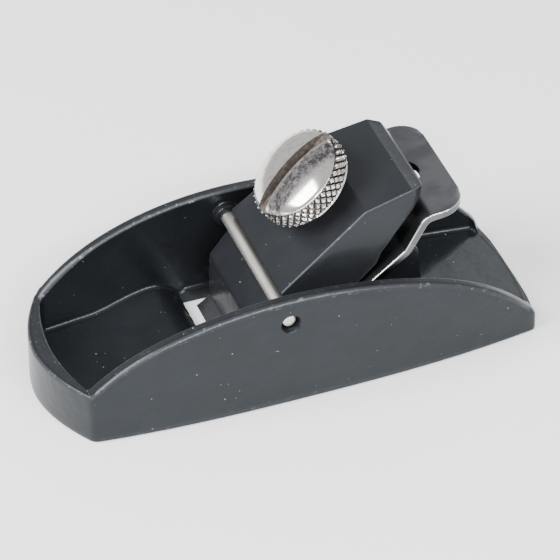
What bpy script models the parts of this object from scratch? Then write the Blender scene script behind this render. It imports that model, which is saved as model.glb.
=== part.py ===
"""Small palm-size trimming plane: cast body, cross pin, lever cap, thumb screw and cutter.

Frame: metres, +Z up, the sole on z = 0, X along the length with the toe at -X,
the origin under the middle of the body. The bed frame (s, n) is measured from the
cutting edge: s runs up the bed along the cutter's face, n stands square to it.
"""
import math

import bmesh
import bpy
from mathutils import Matrix, Vector

# ---- driving dimensions: cutter ----
CUTTER_WIDTH = 0.0254
CUTTER_THICK = 0.0014
BED_ANGLE = math.radians(38.0)
BEVEL_ANGLE = math.radians(25.0)
EDGE_RETRACT = 0.00015
KICK_ROOM = 0.00185
KICK_ANGLE = math.radians(61.0)
KICK_LENGTH = 0.0073
TAIL_ANGLE = math.radians(6.0)
TAIL_LENGTH = 0.0082
KICK_RADIUS = 0.0018
TAIL_CORNER_RADIUS = 0.0046
TAIL_HOLE_RADIUS = 0.0036
TAIL_HOLE_FROM_END = 0.0077

# ---- driving dimensions: body casting ----
BODY_LENGTH = 0.0894
CHEEK_WALL = 0.0023
TOE_WALL = 0.0032
CUTTER_SIDE_ROOM = 0.0025
END_TAPER = 0.0029
TAPER_POWER = 2.6
TOE_BULGE = 0.0056
TOE_INNER_BULGE = 0.0024
TOE_POWER = 1.87
HEEL_BULGE = 0.0016
CORNER_RADIUS = 0.0005
RIM_PEAK = 0.02225
RIM_HEEL_END = 0.00165
RIM_TOE_END = 0.0028
RIM_TOE = 0.0100
RIM_SHARE_HEEL = 0.70
RIM_SHARE_TOE = 0.63
RIM_POWER = 6
PEAK_BEHIND_EDGE = 0.0067
EDGE_FROM_TOE = 0.0343
SOLE_THICK = 0.0025
CREST_HEIGHT = 0.0048
CREST_AHEAD = 0.0052
DISH_LENGTH = 0.0128
MOUTH_AHEAD = 0.0026
MOUTH_LIP = 0.0016
MOUTH_SIDE_ROOM = 0.0016
BED_LIP = 0.0010
RIB_INSET = 0.0027
RIB_THICK = 0.0025
MID_RIB_THICK = 0.0030
RIB_REAR_DRAFT = math.radians(5.0)
RIB_TOP_FLAT = 0.0035

# ---- driving dimensions: cross pin and lever cap, in the bed frame ----
PIN_RADIUS = 0.0012
PIN_S = 0.0158
PIN_N = 0.0095
PIN_RECESS = 0.0010
RECESS_STEP = 0.00045
BOSS_WALL = 0.0011
BOSS_HEIGHT = 0.0014
CAP_SIDE_ROOM = 0.0028
CAP_TAPER = 0.0018
CAP_TOP_N = 0.0117
CAP_TOP_PAST = 0.0052
CAP_TAIL_RUN = 0.0080
CAP_TAIL_DROP = math.radians(26.0)
CAP_SKIN = 0.0026
CAP_WALL = 0.0020
CAP_HEEL_BACK = 0.0138
CAP_HEEL_RUN = 0.0020
CAP_HEEL_N = 0.0020
CAP_ROLL = 0.0015
CAP_TAIL_CORNER = 0.0030
NOSE_FACE = 0.0090
NOSE_REACH = 0.0033
NOSE_TO_CREASE = 0.0009
ROCK_ROOM = 0.0009

# ---- driving dimensions: thumb screw ----
SCREW_S = 0.0326
SHANK_RADIUS = 0.00275
TIP_RADIUS = 0.0019
TIP_CHAMFER = 0.0009
HEAD_RADIUS = 0.0089
HEAD_BAND = 0.0033
HEAD_DOME = 0.0022
HEAD_SHOULDER = 0.0007
FLANGE_THICK = 0.0005
FLANGE_RADIUS = 0.0084
HEAD_LIFT = 0.0036
SLOT_WIDTH = 0.0022
SLOT_DEPTH = 0.0024
SLOT_TURN = math.radians(10.0)
SCREW_BOSS_RADIUS = 0.0048
SCREW_BOSS_DEPTH = 0.0022
TIP_ROOM = 0.0010

# ---- fits and guides ----
GAP = 0.0003
CUT_OVER = 0.0050
CLEAR_ABOVE = 0.0700
ROUND_STEPS = 40
FINE_STEPS = 24
CORNER_STEPS = 8
SHARP_ANGLE = math.radians(30.0)

# ---- worked out from the driving dimensions ----
HALF_LENGTH = BODY_LENGTH / 2
CUTTER_HALF = CUTTER_WIDTH / 2
INNER_HALF = CUTTER_HALF + CUTTER_SIDE_ROOM
BODY_HALF = INNER_HALF + CHEEK_WALL
EDGE = Vector((EDGE_FROM_TOE - HALF_LENGTH, 0.0, EDGE_RETRACT))
ALONG = Vector((math.cos(BED_ANGLE), 0.0, math.sin(BED_ANGLE)))
ABOVE = Vector((-math.sin(BED_ANGLE), 0.0, math.cos(BED_ANGLE)))
CAP_HALF = INNER_HALF - CAP_SIDE_ROOM
PEAK_X = EDGE.x + PEAK_BEHIND_EDGE
MOUTH_FRONT = EDGE.x - MOUTH_AHEAD
CREST_X = MOUTH_FRONT - CREST_AHEAD
DISH_X = CREST_X - DISH_LENGTH
CUTTER_FLAT = SCREW_S + SHANK_RADIUS + KICK_ROOM
CAP_TOP_S = SCREW_S + CAP_TOP_PAST
CAP_TAIL_S = CAP_TOP_S + CAP_TAIL_RUN
CAP_HEEL_S = CAP_TAIL_S - CAP_HEEL_BACK
RIB_OUTSIDE = CUTTER_HALF - RIB_INSET
RECESS_RADIUS = PIN_RADIUS + RECESS_STEP
BOSS_RADIUS = PIN_RADIUS + BOSS_WALL

# ---- finishes: colour, roughness, metallic ----
BODY_PAINT = ((0.065, 0.072, 0.086, 1.0), 0.42, 0.0)
CAP_PAINT = ((0.052, 0.057, 0.068, 1.0), 0.45, 0.0)
SCREW_NICKEL = ((0.74, 0.72, 0.69, 1.0), 0.18, 1.0)
PIN_STEEL = ((0.46, 0.46, 0.45, 1.0), 0.30, 1.0)
CUTTER_STEEL = ((0.22, 0.225, 0.23, 1.0), 0.38, 1.0)


def clear_scene():
    """Remove every object, so that the model starts from an empty scene."""
    for thing in list(bpy.data.objects):
        bpy.data.objects.remove(thing, do_unlink=True)


def material(name, look):
    """One Principled material from a colour, a roughness and a metallic value."""
    colour, roughness, metallic = look
    made = bpy.data.materials.new(name)
    made.use_nodes = True
    shader = made.node_tree.nodes["Principled BSDF"]
    shader.inputs["Base Color"].default_value = colour
    shader.inputs["Roughness"].default_value = roughness
    shader.inputs["Metallic"].default_value = metallic
    return made


def bed_point(s, n, y=0.0):
    """A point given in the bed frame."""
    return EDGE + ALONG * s + ABOVE * n + Vector((0.0, y, 0.0))


def link(name, mesh, finish):
    """Put a mesh in the scene as a named object with one material."""
    made = bpy.data.objects.new(name, mesh)
    bpy.context.scene.collection.objects.link(made)
    if finish:
        mesh.materials.append(finish)
    return made


def extruded(name, outline, axis, low, high, finish=None):
    """A closed outline of (a, b) points carried along an axis: 'Z' or 'Y'."""
    shape = bmesh.new()
    if axis == "Z":
        ring = [shape.verts.new((a, b, low)) for a, b in outline]
        step = Vector((0.0, 0.0, high - low))
    else:
        ring = [shape.verts.new((a, low, b)) for a, b in outline]
        step = Vector((0.0, high - low, 0.0))
    face = shape.faces.new(ring)
    grown = bmesh.ops.extrude_face_region(shape, geom=[face])
    moved = [item for item in grown["geom"] if isinstance(item, bmesh.types.BMVert)]
    bmesh.ops.translate(shape, verts=moved, vec=step)
    bmesh.ops.recalc_face_normals(shape, faces=shape.faces)
    mesh = bpy.data.meshes.new(name)
    shape.to_mesh(mesh)
    shape.free()
    return link(name, mesh, finish)


def turned(name, profile, base, axis, finish=None, steps=ROUND_STEPS):
    """A profile of (radius, height) points turned about an axis through a base point."""
    shape = bmesh.new()
    spin = axis.to_track_quat("Z", "Y").to_matrix().to_4x4()
    place = Matrix.Translation(base) @ spin
    turns = [2.0 * math.pi * k / steps for k in range(steps)]
    rings = []
    for radius, height in profile:
        points = [Vector((radius * math.cos(t), radius * math.sin(t), height)) for t in turns]
        if radius == 0.0:
            points = points[:1]
        rings.append([shape.verts.new(place @ point) for point in points])
    for lower, upper in zip(rings, rings[1:]):
        for k in range(steps):
            after = (k + 1) % steps
            corners = [lower[k % len(lower)], lower[after % len(lower)],
                       upper[after % len(upper)], upper[k % len(upper)]]
            shape.faces.new(list(dict.fromkeys(corners)))
    bmesh.ops.recalc_face_normals(shape, faces=shape.faces)
    mesh = bpy.data.meshes.new(name)
    shape.to_mesh(mesh)
    shape.free()
    return link(name, mesh, finish)


def rod(name, radius, start, end, finish=None, steps=FINE_STEPS):
    """A plain cylinder between two points."""
    span = end - start
    profile = [(0.0, 0.0), (radius, 0.0), (radius, span.length), (0.0, span.length)]
    return turned(name, profile, start, span.normalized(), finish, steps)


def combine(target, guide, operation):
    """Add one Boolean to a target and hide its guide."""
    step = target.modifiers.new(guide.name, "BOOLEAN")
    step.operation = operation
    step.solver = "EXACT"
    step.object = guide
    guide.hide_render = True
    guide.display_type = "WIRE"


def move_origin(thing, point):
    """Set an object's origin to a world point while its shape stays in place."""
    thing.data.transform(Matrix.Translation(-point))
    thing.location = point


def smooth(thing):
    """Smooth shading with sharp edges kept."""
    thing.data.shade_smooth()
    thing.data.set_sharp_from_angle(angle=SHARP_ANGLE)


def arc(centre, radius, start, end, steps):
    """Points on a circular arc, angles in radians."""
    turns = [start + (end - start) * k / steps for k in range(steps + 1)]
    return [(centre[0] + radius * math.cos(t), centre[1] + radius * math.sin(t)) for t in turns]


def side_half(x):
    """Half width of the body at x: straight in the middle, drawn in towards both ends."""
    return BODY_HALF - END_TAPER * abs(x / HALF_LENGTH) ** TAPER_POWER


def body_plan():
    """Outline of the body seen from above, counter-clockwise, with rounded corners."""
    toe_half = side_half(TOE_BULGE - HALF_LENGTH) - CORNER_RADIUS
    heel_half = side_half(HALF_LENGTH - HEEL_BULGE) - CORNER_RADIUS
    toe = []
    heel = []
    for k in range(FINE_STEPS + 1):
        share = 2.0 * k / FINE_STEPS - 1.0
        toe.append((TOE_BULGE * abs(share) ** TOE_POWER - HALF_LENGTH, -share * toe_half))
        heel.append((HALF_LENGTH - HEEL_BULGE * share * share, share * heel_half))
    first = TOE_BULGE - HALF_LENGTH + CORNER_RADIUS
    last = HALF_LENGTH - HEEL_BULGE - CORNER_RADIUS
    side = [first + (last - first) * k / FINE_STEPS for k in range(FINE_STEPS + 1)]
    near = [(x, -side_half(x)) for x in side]
    far = [(x, side_half(x)) for x in reversed(side)]
    return toe + near + heel + far


def inner_plan():
    """Outline of the hollow seen from above; it runs out past the heel."""
    toe_half = side_half(TOE_INNER_BULGE - HALF_LENGTH + TOE_WALL) - CHEEK_WALL - CORNER_RADIUS
    toe = []
    for k in range(FINE_STEPS + 1):
        share = 2.0 * k / FINE_STEPS - 1.0
        toe.append((TOE_INNER_BULGE * abs(share) ** TOE_POWER - HALF_LENGTH + TOE_WALL, -share * toe_half))
    first = TOE_INNER_BULGE - HALF_LENGTH + TOE_WALL + CORNER_RADIUS
    side = [first + (HALF_LENGTH - first) * k / FINE_STEPS for k in range(FINE_STEPS + 1)]
    near = [(x, CHEEK_WALL - side_half(x)) for x in side]
    far = [(x, side_half(x) - CHEEK_WALL) for x in reversed(side)]
    past = HALF_LENGTH + CUT_OVER
    return toe + near + [(past, near[-1][1]), (past, far[0][1])] + far


def rim_height(x):
    """Height of the cheek's rim at x: a flat arch with a steeper fall near each end."""
    if x > PEAK_X:
        reach = (x - PEAK_X) / (HALF_LENGTH - PEAK_X)
        end, share = RIM_HEEL_END, RIM_SHARE_HEEL
    else:
        reach = (PEAK_X - x) / (PEAK_X + HALF_LENGTH)
        end, share = RIM_TOE_END, RIM_SHARE_TOE
    fall = share * reach ** 2 + (1.0 - share) * reach ** RIM_POWER
    height = RIM_PEAK - (RIM_PEAK - end) * fall
    return max(height, RIM_TOE) if x < PEAK_X else height


def floor_height(x):
    """Height of the inside floor at x: dished behind the toe, a crest ahead of the mouth."""
    if x < DISH_X or x > MOUTH_FRONT:
        return SOLE_THICK
    if x < CREST_X:
        swing = (x - DISH_X) / (CREST_X - DISH_X)
        return SOLE_THICK + (CREST_HEIGHT - SOLE_THICK) * (1.0 - math.cos(math.pi * swing)) / 2
    swing = (x - CREST_X) / (MOUTH_FRONT - CREST_X)
    return CREST_HEIGHT - (CREST_HEIGHT - MOUTH_LIP) * swing ** 2


def bed_height(x):
    """Height of the bed, just clear of the cutter's lower face, at x."""
    below = (CUTTER_THICK + GAP) / math.cos(BED_ANGLE)
    return EDGE.z + (x - EDGE.x) * math.tan(BED_ANGLE) - below


def bed_x(height):
    """The x at which the bed reaches a height."""
    below = (CUTTER_THICK + GAP) / math.cos(BED_ANGLE)
    return EDGE.x + (height + below - EDGE.z) / math.tan(BED_ANGLE)


def rim_guide():
    """Everything below the rim's arch."""
    count = 3 * FINE_STEPS
    low = -HALF_LENGTH - CUT_OVER
    top = []
    for k in range(count + 1):
        x = HALF_LENGTH - (2 * HALF_LENGTH) * k / count
        top.append((x, rim_height(x)))
    outline = [(low, -CUT_OVER), (HALF_LENGTH + CUT_OVER, -CUT_OVER),
               (HALF_LENGTH + CUT_OVER, rim_height(HALF_LENGTH))] + top + [(low, RIM_TOE)]
    return extruded("guide_rim", outline, "Y", -BODY_HALF - CUT_OVER, BODY_HALF + CUT_OVER)


def hollow_guide():
    """The space inside the casting, from the shaped floor up."""
    hollow = extruded("guide_hollow", inner_plan(), "Z", -CUT_OVER, RIM_PEAK + CUT_OVER)
    count = 2 * FINE_STEPS
    first = -HALF_LENGTH - CUT_OVER
    floor = [(first, SOLE_THICK)]
    for k in range(count + 1):
        x = DISH_X + (MOUTH_FRONT - DISH_X) * k / count
        floor.append((x, floor_height(x)))
    floor += [(MOUTH_FRONT + GAP, SOLE_THICK), (HALF_LENGTH + 2 * CUT_OVER, SOLE_THICK)]
    top = RIM_PEAK + 2 * CUT_OVER
    outline = floor + [(HALF_LENGTH + 2 * CUT_OVER, top), (first, top)]
    above = extruded("guide_floor", outline, "Y", -BODY_HALF - CUT_OVER, BODY_HALF + CUT_OVER)
    combine(hollow, above, "INTERSECT")
    return hollow


def mouth_guide():
    """The slot through the sole: square in front, sloped like the bed behind."""
    half = CUTTER_HALF + MOUTH_SIDE_ROOM
    top = 2 * SOLE_THICK
    lip = bed_x(BED_LIP) + GAP
    outline = [(MOUTH_FRONT, -CUT_OVER), (lip, -CUT_OVER), (lip, BED_LIP),
               (bed_x(top) + GAP, top), (MOUTH_FRONT, top)]
    return extruded("guide_mouth", outline, "Y", -half, half)


def rib_outline():
    """Side view of a bed rib: it rises along the bed, then runs level to its rear face."""
    crown = EDGE + ALONG * CUTTER_FLAT
    top = bed_height(crown.x)
    rear = crown.x + RIB_TOP_FLAT
    foot = rear + top * math.tan(RIB_REAR_DRAFT)
    root = SOLE_THICK / 2
    return [(bed_x(root), root), (foot, root), (rear, top), (crown.x, top)]


def body_casting(finish):
    """The one-piece casting: sole, cheeks, toe wall, heel deck, bed ribs and pin bosses."""
    body = extruded("body_casting", body_plan(), "Z", 0.0, RIM_PEAK + CUT_OVER, finish)
    combine(body, rim_guide(), "INTERSECT")
    combine(body, hollow_guide(), "DIFFERENCE")
    combine(body, mouth_guide(), "DIFFERENCE")
    outline = rib_outline()
    bands = [(-RIB_OUTSIDE, RIB_THICK - RIB_OUTSIDE), (-MID_RIB_THICK / 2, MID_RIB_THICK / 2),
             (RIB_OUTSIDE - RIB_THICK, RIB_OUTSIDE)]
    for order, (low, high) in enumerate(bands):
        combine(body, extruded(f"guide_rib_{order}", outline, "Y", low, high), "UNION")
    pin = bed_point(PIN_S, PIN_N)
    wall = side_half(pin.x)
    for order, side in enumerate((-1.0, 1.0)):
        inner = pin + Vector((0.0, side * (wall - CHEEK_WALL - BOSS_HEIGHT), 0.0))
        sunk = pin + Vector((0.0, side * (wall - CHEEK_WALL / 2), 0.0))
        combine(body, rod(f"guide_boss_{order}", BOSS_RADIUS, inner, sunk), "UNION")
        step = pin + Vector((0.0, side * (wall - PIN_RECESS), 0.0))
        outside = pin + Vector((0.0, side * (wall + CUT_OVER), 0.0))
        combine(body, rod(f"guide_recess_{order}", RECESS_RADIUS, step, outside), "DIFFERENCE")
    reach = Vector((0.0, wall + CUT_OVER, 0.0))
    combine(body, rod("guide_pin_hole", PIN_RADIUS + GAP, pin - reach, pin + reach), "DIFFERENCE")
    return body


def cross_pin(finish):
    """The steel pin across the cheeks that holds the lever cap down."""
    pin = bed_point(PIN_S, PIN_N)
    reach = Vector((0.0, side_half(pin.x) - PIN_RECESS, 0.0))
    made = rod("cross_pin", PIN_RADIUS, pin - reach, pin + reach, finish)
    move_origin(made, pin)
    smooth(made)
    return made


def cutter_face():
    """The cutter's upper face in side view: flat on the bed, a kick up, a level tail."""
    kick = CUTTER_FLAT * ALONG + EDGE
    points = [EDGE, kick]
    lift = Vector((math.cos(KICK_ANGLE), 0.0, math.sin(KICK_ANGLE)))
    points.append(kick + KICK_LENGTH * lift)
    tail = Vector((math.cos(TAIL_ANGLE), 0.0, math.sin(TAIL_ANGLE)))
    points.append(points[-1] + TAIL_LENGTH * tail)
    return [(point.x, point.z) for point in points]


def rounded_corner(before, corner, after, radius):
    """Points on the arc that rounds one corner of a path."""
    here = Vector(corner)
    back = (Vector(before) - here).normalized()
    ahead = (Vector(after) - here).normalized()
    half = back.angle(ahead) / 2
    centre = here + (back + ahead).normalized() * radius / math.sin(half)
    foot = radius / math.tan(half)
    first = here + back * foot - centre
    last = here + ahead * foot - centre
    turn = first.angle_signed(last)
    start = math.atan2(first.y, first.x)
    return arc(centre, radius, start, start - turn, CORNER_STEPS)


def offset_path(path, distance):
    """The same path moved square to itself, to its right-hand side."""
    moved = []
    for k, point in enumerate(path):
        before = Vector(path[max(k - 1, 0)])
        after = Vector(path[min(k + 1, len(path) - 1)])
        run = (after - before).normalized()
        moved.append((point[0] + run.y * distance, point[1] - run.x * distance))
    return moved


def cutter(finish):
    """The cutter: a bevelled blade with an S-bend, rounded tail corners and a tail hole."""
    edge, kick, crown, end = cutter_face()
    face = ([edge] + rounded_corner(edge, kick, crown, KICK_RADIUS)
            + rounded_corner(kick, crown, end, KICK_RADIUS + CUTTER_THICK) + [end])
    under = offset_path(face, CUTTER_THICK)
    bevel = CUTTER_THICK / math.tan(BEVEL_ANGLE)
    heel = EDGE + ALONG * bevel - ABOVE * CUTTER_THICK
    outline = face + list(reversed(under[1:])) + [(heel.x, heel.z)]
    blade = extruded("cutter", outline, "Y", -CUTTER_HALF, CUTTER_HALF, finish)
    front = EDGE.x - CUT_OVER
    corner = (end[0] - TAIL_CORNER_RADIUS, CUTTER_HALF - TAIL_CORNER_RADIUS)
    near = arc((corner[0], -corner[1]), TAIL_CORNER_RADIUS, -math.pi / 2, 0.0, CORNER_STEPS)
    far = arc(corner, TAIL_CORNER_RADIUS, 0.0, math.pi / 2, CORNER_STEPS)
    side = CUTTER_HALF + CUT_OVER
    plan = [(front, -side), (corner[0] - CUT_OVER, -side), (corner[0] - CUT_OVER, -CUTTER_HALF)]
    plan += near + far
    plan += [(corner[0] - CUT_OVER, CUTTER_HALF), (corner[0] - CUT_OVER, side), (front, side)]
    combine(blade, extruded("guide_tail", plan, "Z", -CUT_OVER, CLEAR_ABOVE), "INTERSECT")
    hole = Vector((end[0] - TAIL_HOLE_FROM_END, 0.0, 0.0))
    top = hole + Vector((0.0, 0.0, CLEAR_ABOVE))
    combine(blade, rod("guide_tail_hole", TAIL_HOLE_RADIUS, hole, top), "DIFFERENCE")
    move_origin(blade, EDGE)
    return blade


def cap_tail():
    """Where the cap's top plate ends, in the bed frame."""
    run = CAP_TAIL_S - CAP_TOP_S
    return CAP_TAIL_S, CAP_TOP_N - run * math.tan(CAP_TAIL_DROP)


def cap_outline():
    """Side view of the lever cap, in world x and z."""
    tail_s, tail_n = cap_tail()
    end_s = tail_s + CAP_ROLL
    top = [(PIN_S + 2 * PIN_RADIUS - GAP, CAP_TOP_N), (CAP_TOP_S, CAP_TOP_N), (tail_s, tail_n),
           (end_s, tail_n - CAP_ROLL), (end_s, tail_n - CAP_SKIN)]
    under = [(tail_s, tail_n - CAP_SKIN - GAP), (CAP_HEEL_S + CAP_HEEL_RUN, CAP_HEEL_N),
             (CAP_HEEL_S, ROCK_ROOM), (PIN_S, GAP)]
    points = [bed_point(s, n) for s, n in top + under]
    nose = bed_point(NOSE_REACH, GAP)
    face = [Vector((nose.x, 0.0, nose.z)), Vector((nose.x - GAP, 0.0, nose.z + NOSE_FACE / 2)),
            Vector((nose.x + GAP, 0.0, nose.z + NOSE_FACE))]
    pin = bed_point(PIN_S, PIN_N)
    crease = [Vector((pin.x - PIN_RADIUS, 0.0, pin.z - PIN_RADIUS - NOSE_TO_CREASE)),
              Vector((pin.x + GAP, 0.0, pin.z - GAP))]
    return [(point.x, point.z) for point in points + face + crease]


def cap_plan():
    """Plan of the cap: full width to the pin, then drawn in to rounded tail corners."""
    half = CAP_HALF - CAP_TAPER - CAP_TAIL_CORNER
    front = EDGE.x - CUT_OVER
    pin = bed_point(PIN_S, PIN_N).x
    end = bed_point(CAP_TAIL_S + CAP_ROLL, cap_tail()[1] - CAP_SKIN).x + GAP - CAP_TAIL_CORNER
    near = arc((end, -half), CAP_TAIL_CORNER, -math.pi / 2, 0.0, CORNER_STEPS)
    far = arc((end, half), CAP_TAIL_CORNER, 0.0, math.pi / 2, CORNER_STEPS)
    return [(front, CAP_HALF), (front, -CAP_HALF), (pin, -CAP_HALF)] + near + far + [(pin, CAP_HALF)]


def cap_hollow():
    """The space under the cap's top plate and between its side walls."""
    half = CAP_HALF - CAP_WALL
    tail = bed_point(CAP_TAIL_S, 0.0).x + CUT_OVER
    front = EDGE.x - CUT_OVER
    pin = bed_point(PIN_S, PIN_N).x
    plan = [(front, half), (front, -half), (pin, -half),
            (tail, CAP_TAPER - half), (tail, half - CAP_TAPER), (pin, half)]
    hollow = extruded("guide_cap_hollow", plan, "Z", -CUT_OVER, CLEAR_ABOVE)
    tail_s, tail_n = cap_tail()
    inner_n = CAP_TOP_N - CAP_SKIN
    outline = [(PIN_S - PIN_RADIUS, -CUT_OVER), (tail_s + CUT_OVER, -CUT_OVER),
               (tail_s + CUT_OVER, tail_n - CAP_SKIN - CUT_OVER * math.tan(CAP_TAIL_DROP)),
               (CAP_TOP_S - CAP_SKIN * math.tan(CAP_TAIL_DROP / 2), inner_n),
               (PIN_S + CAP_SKIN + PIN_RADIUS, inner_n), (PIN_S - PIN_RADIUS, PIN_N / 2)]
    side = [bed_point(s, n) for s, n in outline]
    slab = extruded("guide_cap_under", [(p.x, p.z) for p in side], "Y", -BODY_HALF, BODY_HALF)
    combine(hollow, slab, "INTERSECT")
    return hollow


def lever_cap(finish):
    """The lever cap: top plate, side walls and nose, with a crease for the pin."""
    cap = extruded("lever_cap", cap_outline(), "Y", -BODY_HALF, BODY_HALF, finish)
    combine(cap, extruded("guide_cap_plan", cap_plan(), "Z", -CUT_OVER, CLEAR_ABOVE), "INTERSECT")
    combine(cap, cap_hollow(), "DIFFERENCE")
    low = bed_point(SCREW_S, CAP_TOP_N - CAP_SKIN - SCREW_BOSS_DEPTH)
    high = bed_point(SCREW_S, CAP_TOP_N - CAP_SKIN / 2)
    combine(cap, rod("guide_screw_boss", SCREW_BOSS_RADIUS, low, high), "UNION")
    below = bed_point(SCREW_S, 0.0)
    over = bed_point(SCREW_S, CAP_TOP_N + CUT_OVER)
    combine(cap, rod("guide_screw_hole", SHANK_RADIUS + GAP, below, over), "DIFFERENCE")
    pin = bed_point(PIN_S, PIN_N)
    reach = Vector((0.0, BODY_HALF + CUT_OVER, 0.0))
    combine(cap, rod("guide_crease", PIN_RADIUS + GAP, pin - reach, pin + reach), "DIFFERENCE")
    move_origin(cap, pin)
    return cap


def thumb_screw(finish):
    """The thumb screw: tip, shank, flange, knurled band and slotted dome."""
    under = CAP_TOP_N + HEAD_LIFT
    band = under + FLANGE_THICK
    rim = band + HEAD_BAND
    profile = [(0.0, TIP_ROOM), (TIP_RADIUS, TIP_ROOM), (SHANK_RADIUS, TIP_ROOM + TIP_CHAMFER),
               (SHANK_RADIUS, under), (FLANGE_RADIUS, under), (FLANGE_RADIUS, band),
               (HEAD_RADIUS, band), (HEAD_RADIUS, rim)]
    foot = HEAD_SHOULDER / 2
    for radius, height in arc((0.0, 0.0), 1.0, 0.0, math.pi / 2, CORNER_STEPS)[:-1]:
        profile.append((radius * (HEAD_RADIUS - foot), rim + foot + height * (HEAD_DOME - foot)))
    profile.append((0.0, rim + HEAD_DOME))
    screw = turned("thumb_screw", profile, bed_point(SCREW_S, 0.0), ABOVE, finish)
    top = rim + HEAD_DOME
    half = SLOT_WIDTH / 2
    slot = extruded("guide_slot", [(-half, top - SLOT_DEPTH), (half, top - SLOT_DEPTH),
                                   (half, top + CUT_OVER), (-half, top + CUT_OVER)],
                    "Y", -HEAD_RADIUS - CUT_OVER, HEAD_RADIUS + CUT_OVER)
    slot.data.transform(Matrix.Rotation(SLOT_TURN - math.pi / 2, 4, "Z"))
    slot.data.transform(Matrix.Translation(bed_point(SCREW_S, 0.0)) @ Matrix.Rotation(-BED_ANGLE, 4, "Y"))
    combine(screw, slot, "DIFFERENCE")
    move_origin(screw, bed_point(SCREW_S, CAP_TOP_N))
    smooth(screw)
    return screw


def main():
    """Build every piece."""
    clear_scene()
    body_casting(material("body_paint", BODY_PAINT))
    cross_pin(material("pin_steel", PIN_STEEL))
    lever_cap(material("cap_paint", CAP_PAINT))
    cutter(material("cutter_steel", CUTTER_STEEL))
    thumb_screw(material("screw_nickel", SCREW_NICKEL))


main()
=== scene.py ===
"""Looks of a palm-size trimming plane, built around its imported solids.

Frame: metres, +Z up, sole on z = 0, X from toe to heel, near cheek at -Y. The bed frame (s, n) starts
at the cutting edge: s runs up the bed along the cutter's face and n stands square to it.
"""
import logging
import math
from dataclasses import dataclass, field
from enum import Enum
from typing import Any, Callable, Sequence

import bmesh
import bpy
import numpy as np
from mathutils import Matrix, Vector


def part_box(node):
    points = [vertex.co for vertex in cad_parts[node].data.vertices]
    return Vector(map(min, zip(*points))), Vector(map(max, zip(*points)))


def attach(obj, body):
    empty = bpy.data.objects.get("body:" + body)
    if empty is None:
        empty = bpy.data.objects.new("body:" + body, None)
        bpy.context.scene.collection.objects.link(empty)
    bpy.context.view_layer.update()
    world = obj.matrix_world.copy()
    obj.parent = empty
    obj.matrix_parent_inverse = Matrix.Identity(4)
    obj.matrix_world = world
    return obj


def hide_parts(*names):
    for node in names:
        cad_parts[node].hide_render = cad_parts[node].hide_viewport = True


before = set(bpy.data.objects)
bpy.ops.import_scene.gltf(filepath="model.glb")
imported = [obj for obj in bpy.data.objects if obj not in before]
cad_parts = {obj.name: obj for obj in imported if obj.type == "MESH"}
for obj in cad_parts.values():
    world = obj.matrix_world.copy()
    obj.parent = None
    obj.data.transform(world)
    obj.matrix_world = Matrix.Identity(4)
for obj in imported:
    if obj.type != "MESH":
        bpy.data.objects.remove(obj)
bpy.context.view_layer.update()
MM = 0.001
WELD = 2e-7
SLIVER = 1e-7
NEARLY_STRAIGHT = 1e-4
LOG = logging.getLogger("trimming_plane")
Array = np.ndarray
Colour = tuple[float, float, float, float]
ACROSS = Vector((0.0, 1.0, 0.0))
UP = Vector((0.0, 0.0, 1.0))
WHITE: Colour = (1.0, 1.0, 1.0, 1.0)


class Cut(Enum):
    """What a shaping tool does to the piece it meets."""

    ADD = "UNION"
    REMOVE = "DIFFERENCE"


# ---------------------------------------------------------------- shader arithmetic


class Signal:
    """A shader output that takes part in Python arithmetic; every operator adds one Math node."""

    def __init__(self, tree: bpy.types.NodeTree, socket: bpy.types.NodeSocket) -> None:
        """Hold the node tree and the output socket."""
        self.tree = tree
        self.socket = socket

    def _math(self, operation: str, first: Any, second: Any = None) -> "Signal":
        """Add a Math node.

        Args:
            operation: the Math node's operation.
            first, second: Signals or numbers, in the node's own order.

        Returns:
            The result as a new Signal.
        """
        node = self.tree.nodes.new("ShaderNodeMath")
        node.operation = operation
        for slot, value in zip(node.inputs, (first, second)):
            feed(self.tree, slot, value)
        return Signal(self.tree, node.outputs[0])

    def __add__(self, other: Any) -> "Signal":
        """Sum."""
        return self._math("ADD", self, other)

    def __radd__(self, other: Any) -> "Signal":
        """Sum with a number in front."""
        return self._math("ADD", other, self)

    def __sub__(self, other: Any) -> "Signal":
        """Difference."""
        return self._math("SUBTRACT", self, other)

    def __rsub__(self, other: Any) -> "Signal":
        """Difference from a number in front."""
        return self._math("SUBTRACT", other, self)

    def __mul__(self, other: Any) -> "Signal":
        """Product."""
        return self._math("MULTIPLY", self, other)

    def __rmul__(self, other: Any) -> "Signal":
        """Product with a number in front."""
        return self._math("MULTIPLY", other, self)

    def __lt__(self, other: Any) -> "Signal":
        """1 where this is smaller, else 0."""
        return self._math("LESS_THAN", self, other)

    def size(self) -> "Signal":
        """The value without its sign."""
        return self._math("ABSOLUTE", self)

    def clipped(self) -> "Signal":
        """The same value held between 0 and 1."""
        node = self.tree.nodes.new("ShaderNodeClamp")
        self.tree.links.new(self.socket, node.inputs[0])
        return Signal(self.tree, node.outputs[0])


def feed(tree: bpy.types.NodeTree, slot: bpy.types.NodeSocket, value: Any) -> None:
    """Link a Signal to a socket, or set the socket's own value; None leaves it alone."""
    if isinstance(value, Signal):
        tree.links.new(value.socket, slot)
    elif value is not None:
        slot.default_value = value


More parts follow.
